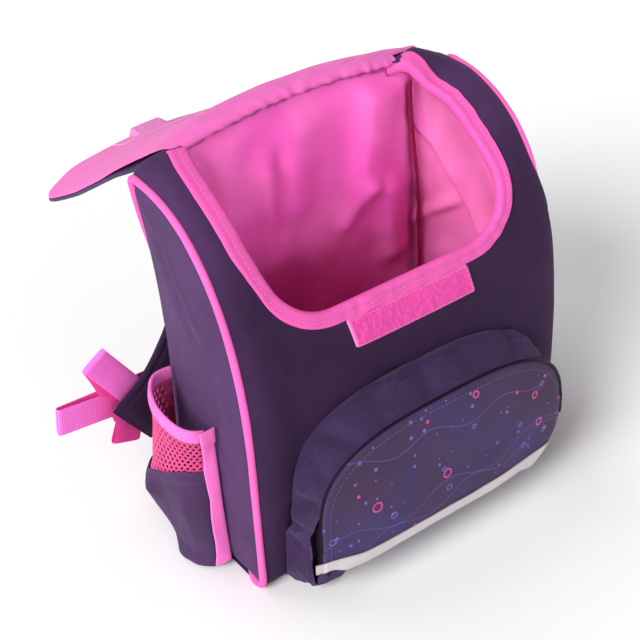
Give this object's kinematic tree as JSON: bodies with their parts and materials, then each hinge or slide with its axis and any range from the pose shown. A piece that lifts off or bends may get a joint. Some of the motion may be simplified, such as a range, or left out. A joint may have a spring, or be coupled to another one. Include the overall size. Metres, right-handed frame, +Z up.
{
  "type": "toddler backpack",
  "caption": "Small child's backpack standing with its lid thrown open: arched body, pink-lined mouth, zipped front pocket, mesh side pockets and padded shoulder straps.",
  "frame": {"origin": "on the floor under the middle of the base", "axes": "+Z up, the front with its pocket towards -Y, the straps and the back towards +Y, the left side of the picture towards -X"},
  "size_m": [0.3568, 0.3174, 0.2636],
  "materials": {
    "cloth": "dark purple woven polyester, matt with a faint sheen",
    "print": "printed polyester, blue-purple ground with small light dots",
    "lining": "thin pink lining cloth, slightly shiny",
    "trim": "bright pink woven binding tape and piping",
    "webbing": "bright pink ribbed webbing",
    "closure": "pink hook and loop tape",
    "mesh": "pink knitted mesh with open round holes",
    "reflective": "pale grey reflective tape, satin",
    "zip": "dark nylon coil zip and puller"
  },
  "bodies": {
    "root": {"front_panel": "cloth", "side_panel_left": "cloth", "side_panel_right": "cloth", "back_panel": "cloth", "base_panel": "cloth", "lining": "lining", "piping_left": "trim", "piping_right": "trim", "opening_binding": "trim", "closure_strip_front": "closure", "lid_lining": "lining", "lid_outer": "print", "closure_strip_lid": "closure", "pocket_gusset": "cloth", "pocket_panel": "print", "pocket_zip": "zip", "reflective_strip": "reflective", "zip_pull": "zip", "side_pocket_lower_left": "cloth", "side_pocket_lower_right": "cloth", "side_pocket_mesh_left": "mesh", "side_pocket_mesh_right": "mesh", "side_pocket_binding_left": "trim", "side_pocket_binding_right": "trim", "side_pocket_trim_left": "trim", "side_pocket_trim_right": "trim", "shoulder_strap_left": "cloth", "shoulder_strap_right": "cloth", "strap_webbing_left": "webbing", "strap_webbing_right": "webbing"}
  },
  "joints": []
}
